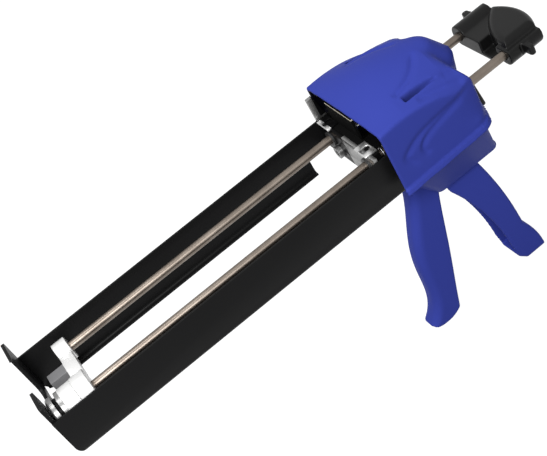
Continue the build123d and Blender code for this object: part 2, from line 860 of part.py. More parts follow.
# Rods: drilled for the screw in front and for the knob's cross pin behind
def rod(y, front, socket_front, screw_seat):
    with BuildPart() as piece:
        bar(front, socket_front + socket_grip, y, 0, rod_diameter)
        bar(front, screw_seat + screw_length, y, 0, screw_diameter, Mode.SUBTRACT)
        with Locations((socket_front + knob_pin_offset, y, 0)):
            Cylinder(knob_pin_diameter / 2, 2 * rod_diameter, mode=Mode.SUBTRACT)
    return piece


socket_fronts = {left_y: knob_front + knob_stagger, right_y: knob_front}
save(rod(left_y, left_rod_front, socket_fronts[left_y], nose_front + screw_head_height), "left_rod")
save(rod(right_y, right_rod_front, socket_fronts[right_y], right_rod_front), "right_rod")

# Knob pins: one cross pin driven up into each socket and through its rod
with BuildPart() as knob_pins:
    for y, start in socket_fronts.items():
        with BuildSketch(Plane.XY.offset(-socket_diameter / 2)):
            with Locations((start + knob_pin_offset, y)):
                Circle(knob_pin_diameter / 2)
        extrude(amount=knob_pin_top + socket_diameter / 2)
save(knob_pins, "knob_pins")

# Palm of the pull knob: a swept-back outline with its upper edge rounded over
palm_rear_left = socket_fronts[left_y] + socket_length
palm_rear_right = socket_fronts[right_y] + socket_length
with BuildPart() as palm:
    with BuildSketch(Plane.XY.offset(-socket_diameter / 2)):
        with BuildLine():
            Line((palm_rear_left, palm_left), (palm_front, palm_left))
            ThreePointArc((palm_front, palm_left), palm_waist, (palm_rear_right, palm_right))
            ThreePointArc((palm_rear_right, palm_right), palm_apex, (palm_rear_left, palm_left))
        make_face()
    extrude(amount=palm_top + socket_diameter / 2)
    fillet(palm.faces().sort_by(Axis.Z)[-1].edges(), palm_edge)

# Pull knob: a socket for each rod, the left one flat on top, with a base and a web between them,
# the palm behind and a tab on each side
with BuildPart() as pull_knob:
    for y, start in socket_fronts.items():
        bar(start, start + socket_length, y, 0, socket_diameter)
    block(
        (socket_fronts[left_y], left_y - socket_diameter, web_top),
        (palm_rear_left, left_y + socket_diameter, socket_diameter),
        Mode.SUBTRACT,
    )
    add(palm.part)
    block(
        (knob_front, knob_base_left, -socket_diameter / 2),
        (palm_rear_right, knob_base_right, knob_base_thickness - socket_diameter / 2),
    )
    block((knob_front, web_inner, -socket_diameter / 2), (palm_rear_right, right_y, web_top))
    knob_tabs = ((-1, left_knob_tab_foot, left_knob_tab_tip), (1, right_knob_tab_foot, right_knob_tab_tip))
    for side, foot, tip in knob_tabs:
        with BuildSketch(Plane.XY) as tab_outline:
            with BuildLine():
                Polyline(
                    (foot[0], side * rod_y),
                    (tip[0], side * knob_tab_reach),
                    (tip[1], side * knob_tab_reach),
                    (foot[1], side * rod_y),
                    close=True,
                )
            make_face()
            corners = tab_outline.vertices()
            fillet([corner for corner in corners if abs(corner.Y) > rod_y + knob_tab_round], knob_tab_round)
        extrude(amount=knob_tab_half_height, both=True)
    block(
        (left_knob_tab_foot[0] - knob_tab_slot_width, left_y - socket_diameter, -socket_diameter),
        (left_knob_tab_foot[0], left_y - socket_diameter / 2 + knob_tab_slot_depth, socket_diameter),
        Mode.SUBTRACT,
    )
    for y, start in socket_fronts.items():
        bar(start - socket_length, start + socket_grip, y, 0, rod_diameter, Mode.SUBTRACT)
    add(knob_pins.part, mode=Mode.SUBTRACT)
save(pull_knob, "pull_knob")
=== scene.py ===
import json
import math
import bmesh
import bpy
import numpy as np
from mathutils import Matrix, Vector
from mathutils.geometry import interpolate_bezier


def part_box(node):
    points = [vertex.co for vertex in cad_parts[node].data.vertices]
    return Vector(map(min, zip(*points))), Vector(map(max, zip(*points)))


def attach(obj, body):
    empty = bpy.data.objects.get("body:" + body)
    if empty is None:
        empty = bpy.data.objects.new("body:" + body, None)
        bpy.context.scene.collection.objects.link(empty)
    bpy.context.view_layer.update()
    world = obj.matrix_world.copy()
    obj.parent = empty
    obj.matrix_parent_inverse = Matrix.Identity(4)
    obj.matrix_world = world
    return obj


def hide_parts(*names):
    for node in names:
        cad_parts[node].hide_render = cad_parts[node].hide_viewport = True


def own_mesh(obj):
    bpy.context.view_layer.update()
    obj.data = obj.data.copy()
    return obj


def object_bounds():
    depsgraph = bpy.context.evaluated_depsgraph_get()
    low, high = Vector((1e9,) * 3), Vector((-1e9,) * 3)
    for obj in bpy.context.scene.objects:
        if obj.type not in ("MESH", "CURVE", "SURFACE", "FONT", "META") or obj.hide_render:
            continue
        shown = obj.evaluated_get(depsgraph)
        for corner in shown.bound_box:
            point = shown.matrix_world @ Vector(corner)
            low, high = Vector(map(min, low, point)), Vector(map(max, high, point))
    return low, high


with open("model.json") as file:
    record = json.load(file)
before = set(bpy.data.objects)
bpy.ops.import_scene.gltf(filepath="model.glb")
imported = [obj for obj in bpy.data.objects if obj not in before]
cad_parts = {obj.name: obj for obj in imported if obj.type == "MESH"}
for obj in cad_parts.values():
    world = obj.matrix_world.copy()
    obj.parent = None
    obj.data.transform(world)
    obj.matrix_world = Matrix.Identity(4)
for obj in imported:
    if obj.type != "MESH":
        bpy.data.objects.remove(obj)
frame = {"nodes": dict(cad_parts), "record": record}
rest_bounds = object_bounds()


# Carriage: two folded sheet-steel walls, the front plate that joins them and the two cheeks inside the hood.
# Spot welded and painted satin black. The sheared edges are tumbled, so each carries a small round.
nodes = frame["nodes"]
body_of = {
    node: body
    for body, members in frame["record"]["behaviour"]["bodies"].items()
    for node in members
}


def value_group(name, inputs, outputs):
    """An empty shader node group with its input and output nodes. The sockets are pairs of label and kind."""
    group = bpy.data.node_groups.new(name, "ShaderNodeTree")
    for direction, sockets in (("INPUT", inputs), ("OUTPUT", outputs)):
        for label, kind in sockets:
            group.interface.new_socket(label, in_out=direction, socket_type="NodeSocket" + kind)
    return group, group.nodes.new("NodeGroupInput"), group.nodes.new("NodeGroupOutput")


def math_node(tree, operation, *values):
    """The result of a math node that is fed with numbers or with other nodes' sockets."""
    node = tree.nodes.new("ShaderNodeMath")
    node.operation = operation
    for socket, value in zip(node.inputs, values):
        if isinstance(value, float):
            socket.default_value = value
        else:
            tree.links.new(value, socket)
    return node.outputs["Value"]


def make_grain():
    """Fine moulded or rolled grain: a slow drift, a fine pattern and a bumped normal."""
    group, source, sink = value_group(
        "surface_grain",
        [("Scale", "Float"), ("Drift Scale", "Float"), ("Height", "Float"), ("Stretch", "Vector")],
        [("Drift", "Float"), ("Fine", "Float"), ("Normal", "Vector")],
    )
    fine_detail, broad_detail = 3.0, 4.0
    bump_strength = 0.5
    place = group.nodes.new("ShaderNodeTexCoord")
    stretched = group.nodes.new("ShaderNodeVectorMath")
    stretched.operation = "MULTIPLY"
    fine = group.nodes.new("ShaderNodeTexNoise")
    fine.inputs["Detail"].default_value = fine_detail
    broad = group.nodes.new("ShaderNodeTexNoise")
    broad.inputs["Detail"].default_value = broad_detail
    bump = group.nodes.new("ShaderNodeBump")
    bump.inputs["Strength"].default_value = bump_strength
    link = group.links.new
    link(place.outputs["Object"], stretched.inputs[0])
    link(source.outputs["Stretch"], stretched.inputs[1])
    link(stretched.outputs["Vector"], fine.inputs["Vector"])
    link(place.outputs["Object"], broad.inputs["Vector"])
    link(source.outputs["Scale"], fine.inputs["Scale"])
    link(source.outputs["Drift Scale"], broad.inputs["Scale"])
    link(source.outputs["Height"], bump.inputs["Distance"])
    link(fine.outputs["Fac"], bump.inputs["Height"])
    link(broad.outputs["Fac"], sink.inputs["Drift"])
    link(fine.outputs["Fac"], sink.inputs["Fine"])
    link(bump.outputs["Normal"], sink.inputs["Normal"])
    return group


def make_edge_wear():
    """A broken mask along the edges, where handling rubs the finish."""
    group, source, sink = value_group(
        "edge_wear",
        [("Radius", "Float"), ("Breakup", "Float"), ("Amount", "Float")],
        [("Mask", "Float")],
    )
    bevel_samples = 4
    flat_cosine, worn_cosine = 0.995, 0.85
    patch_detail = 5.0
    rounded = group.nodes.new("ShaderNodeBevel")
    rounded.samples = bevel_samples
    surface = group.nodes.new("ShaderNodeNewGeometry")
    across = group.nodes.new("ShaderNodeVectorMath")
    across.operation = "DOT_PRODUCT"
    edge = group.nodes.new("ShaderNodeMapRange")
    edge.inputs["From Min"].default_value = flat_cosine
    edge.inputs["From Max"].default_value = worn_cosine
    place = group.nodes.new("ShaderNodeTexCoord")
    patches = group.nodes.new("ShaderNodeTexNoise")
    patches.inputs["Detail"].default_value = patch_detail
    link = group.links.new
    link(source.outputs["Radius"], rounded.inputs["Radius"])
    link(rounded.outputs["Normal"], across.inputs[0])
    link(surface.outputs["Normal"], across.inputs[1])
    link(across.outputs["Value"], edge.inputs["Value"])
    link(place.outputs["Object"], patches.inputs["Vector"])
    link(source.outputs["Breakup"], patches.inputs["Scale"])
    patchy = math_node(group, "MULTIPLY", edge.outputs["Result"], patches.outputs["Fac"])
    link(math_node(group, "MULTIPLY", patchy, source.outputs["Amount"]), sink.inputs["Mask"])
    return group


surface_grain = make_grain()
edge_wear = make_edge_wear()


def finish(name, dark, light, worn, rough, metal=0.0, specular=0.5, grain=900.0, height=0.00002, drift=14.0,
           stretch=(1.0, 1.0, 1.0), wear=0.5):
    """A Principled material whose colour and roughness drift, with its edges rubbed to the worn colour."""
    rough_spread = 0.08
    wear_radius, wear_breakup = 0.0006, 160.0
    material = bpy.data.materials.new(name)
    material.use_nodes = True
    tree = material.node_tree
    shader = tree.nodes["Principled BSDF"]
    shader.inputs["Metallic"].default_value = metal
    shader.inputs["Specular IOR Level"].default_value = specular
    texture = tree.nodes.new("ShaderNodeGroup")
    texture.node_tree = surface_grain
    for label, value in (("Scale", grain), ("Drift Scale", drift), ("Height", height), ("Stretch", stretch)):
        texture.inputs[label].default_value = value
    rubbed = tree.nodes.new("ShaderNodeGroup")
    rubbed.node_tree = edge_wear
    for label, value in (("Radius", wear_radius), ("Breakup", wear_breakup), ("Amount", wear)):
        rubbed.inputs[label].default_value = value
    colour = tree.nodes.new("ShaderNodeMix")
    colour.data_type = "RGBA"
    colour.inputs["A"].default_value = (*dark, 1.0)
    colour.inputs["B"].default_value = (*light, 1.0)
    edged = tree.nodes.new("ShaderNodeMix")
    edged.data_type = "RGBA"
    edged.inputs["B"].default_value = (*worn, 1.0)
    spread = tree.nodes.new("ShaderNodeMapRange")
    spread.inputs["To Min"].default_value = rough - rough_spread
    spread.inputs["To Max"].default_value = rough + rough_spread
    link = tree.links.new
    link(texture.outputs["Drift"], colour.inputs["Factor"])
    link(rubbed.outputs["Mask"], edged.inputs["Factor"])
    link(colour.outputs["Result"], edged.inputs["A"])
    link(texture.outputs["Fine"], spread.inputs["Value"])
    link(edged.outputs["Result"], shader.inputs["Base Color"])
    link(spread.outputs["Result"], shader.inputs["Roughness"])
    link(texture.outputs["Normal"], shader.inputs["Normal"])
    return material


def dress(material, slot, *pieces):
    """Gives pieces, or CAD nodes by name, a material. The record slot it is given is not used."""
    for piece in pieces:
        shown = nodes[piece] if isinstance(piece, str) else piece
        shown.data.materials.clear()
        shown.data.materials.append(material)


def merged_copy(name):
    """A CAD node's mesh as a new object with its triangles joined, ready for modifiers."""
    weld_distance = 1e-6
    mesh = nodes[name].data.copy()
    work = bmesh.new()
    work.from_mesh(mesh)
    bmesh.ops.remove_doubles(work, verts=work.verts, dist=weld_distance)
    work.to_mesh(mesh)
    work.free()
    piece = bpy.data.objects.new(name + "_finished", mesh)
    bpy.context.scene.collection.objects.link(piece)
    return piece


def bake_modifiers(piece):
    """Turns the modifiers of a piece into a plain smooth-shaded mesh."""
    graph = bpy.context.evaluated_depsgraph_get()
    mesh = bpy.data.meshes.new_from_object(piece.evaluated_get(graph))
    piece.modifiers.clear()
    piece.data = mesh
    for face in mesh.polygons:
        face.use_smooth = True


def stand_for(piece, name):
    """Puts a finished piece in the place of its CAD node, on that node's body."""
    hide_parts(name)
    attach(piece, body_of[name])


def tumbled(name, radius):
    """A CAD node of plate or turned stock with its sharp edges rounded, standing for that node."""
    flat_angle, edge_angle, sharp_angle = math.radians(0.5), math.radians(40), math.radians(35)
    round_steps = 2
    piece = merged_copy(name)
    work = bmesh.new()
    work.from_mesh(piece.data)
    bmesh.ops.dissolve_limit(work, angle_limit=flat_angle, verts=work.verts, edges=work.edges)
    work.to_mesh(piece.data)
    work.free()
    edge = piece.modifiers.new("edge", "BEVEL")
    edge.width = radius
    edge.segments = round_steps
    edge.limit_method = "ANGLE"
    edge.angle_limit = edge_angle
    bake_modifiers(piece)
    piece.data.set_sharp_from_angle(angle=sharp_angle)
    stand_for(piece, name)
    return piece


black_paint = finish(
    "black_paint", dark=(0.005, 0.005, 0.0052), light=(0.009, 0.009, 0.0092), worn=(0.05, 0.05, 0.051),
    rough=0.42, specular=0.09, drift=9.0, wear=0.35,
)
sheet_round = 0.0003
for name in ("left_wall", "right_wall", "front_plate"):
    dress(black_paint, "black_steel", tumbled(name, sheet_round))
dress(black_paint, "black_steel", "left_cheek", "right_cheek")

# Cartridge seat: the rear plate with its tabs and two socket screws, stamped from sheet and zinc plated.
# The plating is bright and a little cloudy, as barrel plating leaves it. The right half of the plate, the
# backs of its ears and the back of the right tab carry painted shade in flat black.
bright_zinc = finish(
    "bright_zinc", dark=(0.50, 0.50, 0.50), light=(0.72, 0.72, 0.71), worn=(0.82, 0.82, 0.81),
    rough=0.34, metal=0.9, specular=0.05, grain=420.0, drift=38.0,
)
dull_zinc = finish(
    "dull_zinc", dark=(0.16, 0.16, 0.16), light=(0.34, 0.34, 0.335), worn=(0.6, 0.6, 0.6),
    rough=0.36, metal=0.85, specular=0.05, grain=420.0, drift=60.0,
)
dress(dull_zinc, "plated_steel", "rear_plate_bolts", "drive_plate", "brake_plate")


def painted(name, base, paint, bands=(), attribute=None):
    """A copy of a finish with a second colour that is not metal. It lies where all of its bands of Object
    coordinates meet, or by the share that a mesh attribute gives."""
    material = base.copy()
    material.name = name
    tree = material.node_tree
    link = tree.links.new
    masks = []
    if bands:
        place = tree.nodes.new("ShaderNodeTexCoord")
        axes = tree.nodes.new("ShaderNodeSeparateXYZ")
        link(place.outputs["Object"], axes.inputs["Vector"])
    for axis, low, high in bands:
        middle, half = (low + high) / 2, (high - low) / 2
        masks.append(math_node(tree, "COMPARE", axes.outputs[axis], middle, half))
    if attribute:
        stored = tree.nodes.new("ShaderNodeAttribute")
        stored.attribute_name = attribute
        masks.append(stored.outputs["Fac"])
    mask = masks[0]
    for other in masks[1:]:
        mask = math_node(tree, "MULTIPLY", mask, other)

    shader = tree.nodes["Principled BSDF"]
    coat = tree.nodes.new("ShaderNodeMix")
    coat.data_type = "RGBA"
    coat.inputs["B"].default_value = (*paint, 1.0)
    link(mask, coat.inputs["Factor"])
    link(shader.inputs["Base Color"].links[0].from_socket, coat.inputs["A"])
    link(coat.outputs["Result"], shader.inputs["Base Color"])
    metallic = shader.inputs["Metallic"]
    if metallic.is_linked or metallic.default_value > 0.0:
        before = metallic.links[0].from_socket if metallic.is_linked else metallic.default_value
        bare = math_node(tree, "SUBTRACT", 1.0, mask)
        link(math_node(tree, "MULTIPLY", before, bare), metallic)
    return material


# Painted shade: flat black over the zinc where the plate lies dark inside the hood.
seat_painted_shade = (0.004, 0.004, 0.0042)
half_paint_y, ear_paint_x, tab_paint_x = 0.003, 0.0042, 0.0015
middle_y = 0.0
(_, _, seat_bottom), (seat_back, seat_right, seat_top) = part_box("rear_plate")
(_, _, tab_bottom), (tab_back, tab_right, tab_top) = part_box("flange_tabs")
seat_half_shade = painted(
    "seat_half_shade_zinc", dull_zinc, seat_painted_shade,
    bands=[("Y", half_paint_y, seat_right), ("Z", seat_bottom, tab_bottom)],
)
seat_finish = painted(
    "seat_shade_zinc", seat_half_shade, seat_painted_shade,
    bands=[("X", ear_paint_x, seat_back), ("Z", tab_top, seat_top)],
)
dress(seat_finish, "plated_steel", tumbled("rear_plate", sheet_round))
tab_finish = painted(
    "tab_shade_zinc", bright_zinc, seat_painted_shade,
    bands=[("X", tab_paint_x, tab_back), ("Y", middle_y, tab_right)],
)
dress(tab_finish, "plated_steel", tumbled("flange_tabs", sheet_round))

# Guide block: black casting behind the seat that carries the two front bushes.
# The bushes, and the two in the hood's rear, are turned from dark bearing plastic and pressed in.
matte_black = finish(
    "matte_black", dark=(0.003, 0.003, 0.003), light=(0.006, 0.006, 0.006), worn=(0.02, 0.02, 0.02),
    rough=0.6, specular=0.02, drift=30.0, wear=0.3,
)
dress(matte_black, "black_steel", "guide_block")
bush_plastic = finish(
    "bush_plastic", dark=(0.015, 0.015, 0.015), light=(0.03, 0.03, 0.03), worn=(0.05, 0.05, 0.05),
    rough=0.5,
)
dress(bush_plastic, "bush_plastic", "rod_bushes", "rear_bushes")

# Stop plate: upright strip behind the guide block, black as painted shade, with a pale cream upper edge.
# Stamped from sheet; the cream band is the bare top edge with a painted highlight where it catches the light
# in the hood's mouth.
# Painted highlight in cream along the top edge, painted shade in black below it.
highlight_band = 0.0012
cream = (0.72, 0.66, 0.54)
stop_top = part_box("stop_plate")[1][2]
stop_bands = [("Z", stop_top - highlight_band, stop_top)]
stop_finish = painted("highlit_edge_shade_black", matte_black, cream, stop_bands)
dress(stop_finish, "cast_zinc", "stop_plate")


# Springs: drawn wire wound round the rods, two that return the drive plate and two that hold the brake plate.
# Each is one helix with a closed coil at both ends.
def make_spring_winder():
    """Geometry nodes that wind a spring round each rod, with a closed coil at both ends."""
    points_per_turn = 28
    wire_sides = 10
    rod_count = 2
    along_rod = (0.0, math.radians(90), 0.0)
    group = bpy.data.node_groups.new("wound_springs", "GeometryNodeTree")
    sockets = {}
    for label, kind in (("Start", "Float"), ("Length", "Float"), ("Turns", "Float"), ("Coil Radius", "Float"),
                        ("Wire Radius", "Float"), ("Rod Offset", "Float"), ("Wire", "Material")):
        sockets[label] = group.interface.new_socket(label, in_out="INPUT", socket_type="NodeSocket" + kind)
    group.interface.new_socket("Springs", in_out="OUTPUT", socket_type="NodeSocketGeometry")
    source = group.nodes.new("NodeGroupInput")
    sink = group.nodes.new("NodeGroupOutput")
    helix = group.nodes.new("GeometryNodeCurveSpiral")
    helix.inputs["Resolution"].default_value = points_per_turn
    first_coil = group.nodes.new("GeometryNodeCurvePrimitiveCircle")
    last_coil = group.nodes.new("GeometryNodeTransform")
    lift = group.nodes.new("ShaderNodeCombineXYZ")
    coils = group.nodes.new("GeometryNodeJoinGeometry")
    wire_round = group.nodes.new("GeometryNodeCurvePrimitiveCircle")
    wire_round.inputs["Resolution"].default_value = wire_sides
    swept = group.nodes.new("GeometryNodeCurveToMesh")
    swept.inputs["Fill Caps"].default_value = True
    left_place = group.nodes.new("ShaderNodeCombineXYZ")
    right_place = group.nodes.new("ShaderNodeCombineXYZ")
    rods = group.nodes.new("GeometryNodeMeshLine")
    rods.mode = "END_POINTS"
    rods.inputs["Count"].default_value = rod_count
    placed = group.nodes.new("GeometryNodeInstanceOnPoints")
    placed.inputs["Rotation"].default_value = along_rod
    real = group.nodes.new("GeometryNodeRealizeInstances")
    coated = group.nodes.new("GeometryNodeSetMaterial")
    link = group.links.new
    link(source.outputs["Turns"], helix.inputs["Rotations"])
    link(source.outputs["Coil Radius"], helix.inputs["Start Radius"])
    link(source.outputs["Coil Radius"], helix.inputs["End Radius"])
    link(source.outputs["Length"], helix.inputs["Height"])
    link(source.outputs["Coil Radius"], first_coil.inputs["Radius"])
    link(source.outputs["Length"], lift.inputs["Z"])
    link(first_coil.outputs["Curve"], last_coil.inputs["Geometry"])
    link(lift.outputs["Vector"], last_coil.inputs["Translation"])
    for coil in (helix.outputs["Curve"], first_coil.outputs["Curve"], last_coil.outputs["Geometry"]):
        link(coil, coils.inputs["Geometry"])
    link(source.outputs["Wire Radius"], wire_round.inputs["Radius"])
    link(coils.outputs["Geometry"], swept.inputs["Curve"])
    link(wire_round.outputs["Curve"], swept.inputs["Profile Curve"])
    right_offset = source.outputs["Rod Offset"]
    left_offset = math_node(group, "MULTIPLY", right_offset, -1.0)
    for place, offset in ((left_place, left_offset), (right_place, right_offset)):
        link(source.outputs["Start"], place.inputs["X"])
        link(offset, place.inputs["Y"])
    link(left_place.outputs["Vector"], rods.inputs["Start Location"])
    link(right_place.outputs["Vector"], rods.inputs["Offset"])
    link(rods.outputs["Mesh"], placed.inputs["Points"])
    link(swept.outputs["Mesh"], placed.inputs["Instance"])
    link(placed.outputs["Instances"], real.inputs["Geometry"])
    link(real.outputs["Geometry"], coated.inputs["Geometry"])
    link(source.outputs["Wire"], coated.inputs["Material"])
    link(coated.outputs["Geometry"], sink.inputs["Springs"])
    return group, {label: socket.identifier for label, socket in sockets.items()}


spring_wire = finish(
    "spring_wire", dark=(0.32, 0.32, 0.33), light=(0.45, 0.45, 0.46), worn=(0.6, 0.6, 0.6),
    rough=0.35, metal=1.0,
)
spring_winder, spring_inputs = make_spring_winder()
wire_radius = 0.0007


def wound(name, turns):
    """The pair of springs that stands for a CAD sleeve pair."""
    (start, _, _), (end, outer, radius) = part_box(name)
    piece = bpy.data.objects.new(name + "_wound", bpy.data.meshes.new(name + "_wound"))
    bpy.context.scene.collection.objects.link(piece)
    winding = piece.modifiers.new("winding", "NODES")
    winding.node_group = spring_winder
    values = {
        "Start": start + wire_radius,
        "Length": end - start - 2 * wire_radius,
        "Turns": turns,
        "Coil Radius": radius - wire_radius,
        "Wire Radius": wire_radius,
        "Rod Offset": outer - radius,
        "Wire": spring_wire,
    }
    for label, value in values.items():
        winding[spring_inputs[label]] = value
    bake_modifiers(piece)
    stand_for(piece, name)
    dress(spring_wire, "spring_steel", piece)
    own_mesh(piece)


wound("return_springs", turns=7.0)
wound("brake_springs", turns=3.0)

# Hood: the cover over the drive, with a domed top, a scoop in each shoulder and two loops on each side.
# Injection moulded in blue plastic with a fine satin grain, and seated on the grip's neck along its skirt.
# Every corner carries the tool's radius. Places and sizes on its skin are in millimetres.
blue_plastic = finish(
    "blue_plastic", dark=(0.037, 0.054, 0.335), light=(0.045, 0.064, 0.375), worn=(0.065, 0.09, 0.45),
    rough=0.48, specular=0.03, grain=1100.0, height=0.000015, drift=8.0, wear=0.3,
)


def moulded(name, cell, passes):
    """A CAD moulding remeshed evenly and eased, so that its corners are rounded. It stands for its node."""
    ease_share = 0.5
    piece = merged_copy(name)
    even = piece.modifiers.new("even", "REMESH")
    even.mode = "VOXEL"
    even.voxel_size = cell
    ease = piece.modifiers.new("ease", "SMOOTH")
    ease.factor = ease_share
    ease.iterations = passes
    bake_modifiers(piece)
    stand_for(piece, name)
    return piece


def smooth_line(points, steps=10):
    """Points along a smooth line through a few given ones. At each of them it runs parallel to the chord
    between that one's neighbours."""
    handle_divisor = 6
    ends = [Vector(point) for point in (points[0], *points, points[-1])]
    line = []
    for before, start, end, after in zip(ends, ends[1:], ends[2:], ends[3:]):
        lead = start + (end - before) / handle_divisor
        trail = end - (after - start) / handle_divisor
        line += interpolate_bezier(start, lead, trail, end, steps)
    return np.array([tuple(point) for point in line])


def soft_step(values, start, end):
    """Nought before start, one after end and a smooth rise between them."""
    share = np.clip((values - start) / (end - start), 0, 1)
    return share * share * (3 - 2 * share)


def read_array(items, field, width, kind=np.float64):
    """One field of all the points or edges of a mesh, a row for each."""
    values = np.empty(width * len(items), dtype=kind)
    items.foreach_get(field, values)
    return values.reshape(-1, width)


class MouldSkin:
    """The skin of a moulding as arrays, in millimetres. What is done to one side is done to the other."""

    mm_per_metre = 1000

    def __init__(self, mesh, axis_z):
        self.mesh = mesh
        self.points = read_array(mesh.vertices, "co", 3) * self.mm_per_metre
        self.normals = read_array(mesh.vertex_normals, "vector", 3)
        self.edges = read_array(mesh.edges, "vertices", 2, np.int64)
        from_axis = self.points - np.array([0.0, 0.0, axis_z])
        from_axis[:, 0] = 0.0
        from_axis /= np.linalg.norm(from_axis, axis=1)[:, None]
        self.facing = (self.normals * from_axis).sum(axis=1)
        self.outer = self.facing > 0.0

    def folded(self):
        """The points with the left side folded onto the right one."""
        points = self.points.copy()
        points[:, 1] = np.abs(points[:, 1])
        return points

    def in_box(self, low, high):
        """Which points lie in a box or its mirror image."""
        folded = self.folded()
        return (folded > low).all(axis=1) & (folded < high).all(axis=1)

    def facing_in(self):
        """Which points look into the moulding: its inner sides and the inner face of its rear wall."""
        mouth_rim = 3
        square_on = 0.5
        side_limit, rear_limit = -0.05, 0.3
        behind_rim = self.points[:, 0] > self.points[:, 0].min() + mouth_rim
        backward = self.normals[:, 0]
        inner_side = (self.facing < side_limit) & (backward < square_on)
        return inner_side | ((backward < -square_on) & (self.facing < rear_limit) & behind_rim)

    def fill(self, low, high, passes):
        """Draws the outer skin flat, like a membrane, inside a box."""
        inside = self.outer & self.in_box(low, high)
        near = self.edges[inside[self.edges].any(axis=1)]
        both = np.concatenate([near, near[:, ::-1]])
        count = np.bincount(both[:, 0], minlength=len(self.points))
        for _ in range(passes):
            for axis in range(3):
                total = np.bincount(both[:, 0], self.points[both[:, 1], axis], minlength=len(self.points))
                self.points[inside, axis] = total[inside] / count[inside]

    def thicken(self, low, high, amount):
        """Moves the inner side of the wall further in, inside a box."""
        inner_limit = -0.3
        behind = (self.facing < inner_limit) & self.in_box(low, high)
        self.points[behind] += self.normals[behind] * amount

    def carve(self, line, depth, half_width, fade):
        """Sinks a soft groove along a line, fading at its ends; a negative depth raises a ridge."""
        reach_in_widths = 3
        reach = reach_in_widths * half_width
        near = self.outer & self.in_box(line.min(axis=0) - reach, line.max(axis=0) + reach)
        gaps = np.linalg.norm(self.folded()[near][:, None, :] - line[None, :, :], axis=2)
        share = gaps.argmin(axis=1) / (len(line) - 1)
        ends = soft_step(np.minimum(share, 1 - share), 0, fade)
        sunk = depth * ends * np.exp(-((gaps.min(axis=1) / half_width) ** 2))
        self.points[near] -= self.normals[near] * sunk[:, None]

    def store(self):
        """Puts the points back on the mesh."""
        self.mesh.vertices.foreach_set("co", (self.points / self.mm_per_metre).ravel())
        self.mesh.update()


hood = moulded("hood", cell=0.00085, passes=6)
hood_axis_z = -10.0
shoulder_box = (33, 32, 24), (72, 47.5, 45)
side_box = (20, 43, -13), (92, 55, 18.5)
crown_rear_box = (76, -1, 10), (104, 34, 46)
side_wall_box = (16, 42, -14), (94, 55, 19)
flat_passes, crown_passes = 400, 50
wall_growth = 1.6
skin = MouldSkin(hood.data, hood_axis_z)
skin.fill(*shoulder_box, flat_passes)
skin.fill(*side_box, flat_passes)
skin.fill(*crown_rear_box, crown_passes)
skin.thicken(*side_wall_box, wall_growth)
skin.store()

# The scoop is a wedge in each shoulder: a steep wall in front and a floor that rises to nothing at the rear.
skin = MouldSkin(hood.data, hood_axis_z)
scoop_front, scoop_rear = 39.5, 70.0
scoop_y_front, scoop_y_rear = 38.0, 35.4
scoop_half_front, scoop_half_rear = 3.0, 1.2
scoop_depth = 7.0
scoop_front_wall = 1.6
floor_curve, side_curve = 0.7, 0.8
shoulder_z = 24.0
along = np.clip((skin.points[:, 0] - scoop_front) / (scoop_rear - scoop_front), 0, 1)
middle = scoop_y_front + (scoop_y_rear - scoop_y_front) * along
half = scoop_half_front + (scoop_half_rear - scoop_half_front) * along
across = np.clip(1 - np.abs(np.abs(skin.points[:, 1]) - middle) / half, 0, 1)
opened = np.clip((skin.points[:, 0] - scoop_front) / scoop_front_wall, 0, 1) * (1 - along) ** floor_curve
on_shoulder = skin.points[:, 2] > shoulder_z
skin.points[:, 2] -= scoop_depth * on_shoulder * opened * across ** side_curve

# The grooves: a crease round the dome, a ridge and two valleys that fall along the shoulder, two side loops.
dome_crease = [(35, 32.5, 39.3), (44.5, 30.6, 39.7), (54, 26.9, 40.2), (63, 20.2, 41.2), (72.5, 9, 42.4)]
rear_ridge = [(64, 36, 35), (72.3, 35.2, 32.2), (81.8, 34.5, 29.8), (88, 33, 26)]
shoulder_valley = [(46.3, 43.8, 33.6), (59.4, 43.3, 30.4), (72.9, 43.1, 25.5), (85.4, 43, 19.9)]
shoulder_fall = [(66, 38, 35), (76, 37.5, 32), (84, 36.5, 28.5), (92, 34, 24)]
outer_loop = [
    (88, 45.5, 13.6), (61.6, 48.6, 13.8), (36.6, 49.6, 11.5),
    (22.1, 50.1, 5.2), (20, 50.2, 0.5), (27.6, 49.9, -9.1),
]
inner_loop = [(78, 48, 12), (62.1, 48.8, 10.7), (41.5, 49.5, 6.6), (34, 49.7, -0.3), (38.2, 49.6, -7.9)]
short_fade, long_fade = 0.15, 0.4
skin.carve(smooth_line(dome_crease), depth=1.6, half_width=2.6, fade=short_fade)
skin.carve(smooth_line(rear_ridge), depth=-0.4, half_width=2.4, fade=short_fade)
skin.carve(smooth_line(shoulder_valley), depth=1.3, half_width=2.8, fade=short_fade)
skin.carve(smooth_line(shoulder_fall), depth=1.6, half_width=4.5, fade=long_fade)
skin.carve(smooth_line(outer_loop), depth=1.6, half_width=2.4, fade=short_fade)
skin.carve(smooth_line(inner_loop), depth=1.9, half_width=2.0, fade=short_fade)
whole_side_box = (14, 40, -14), (98, 55, 26)
easing_passes = 3
skin.fill(*whole_side_box, easing_passes)

# The bead along the skirt stands out from the sides.
skirt_top, skirt_slope, skirt_step = -18.0, 2.0, 2.2
edge_on, face_on = 0.2, 0.8
below_top = soft_step(-skin.points[:, 2], -skirt_top, skirt_slope - skirt_top)
rise = skirt_step * below_top * soft_step(skin.facing, edge_on, face_on)
skin.points[:, :2] += skin.normals[:, :2] * rise[:, None]
skin.store()


def store_shade(piece, shade):
    """Keeps each point's share of painted shade, the dark colour laid inside a moulding and in its deep
    recesses.
    """
    stored = piece.data.attributes.new("shade", "FLOAT", "POINT")
    stored.data.foreach_set("value", shade.astype(np.float32))
